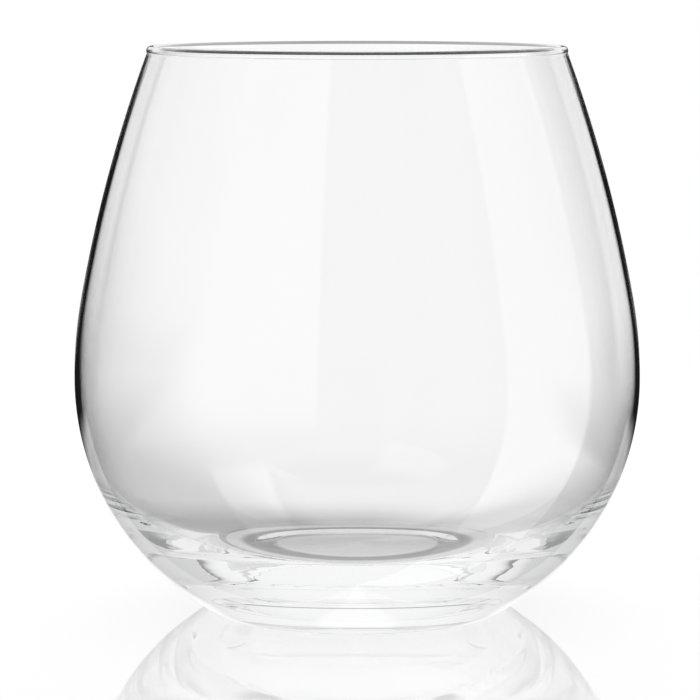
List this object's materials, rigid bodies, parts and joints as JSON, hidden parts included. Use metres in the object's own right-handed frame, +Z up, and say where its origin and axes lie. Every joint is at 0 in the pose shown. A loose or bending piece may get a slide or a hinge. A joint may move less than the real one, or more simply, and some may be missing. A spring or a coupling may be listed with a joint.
{
  "type": "stemless wine glass",
  "caption": "Clear stemless wine glass: a thin round bowl that narrows to a beaded rim and stands on its own heavy rounded base.",
  "frame": {"origin": "on the table, under the middle of the base", "axes": "+Z up along the glass's axis, +X and +Y any way round it"},
  "size_m": [0.096, 0.096, 0.0956],
  "materials": {
    "clear_glass": "clear and smooth, fire-polished"
  },
  "bodies": {
    "root": {"base": "clear_glass", "bowl": "clear_glass", "rim": "clear_glass"}
  },
  "joints": []
}
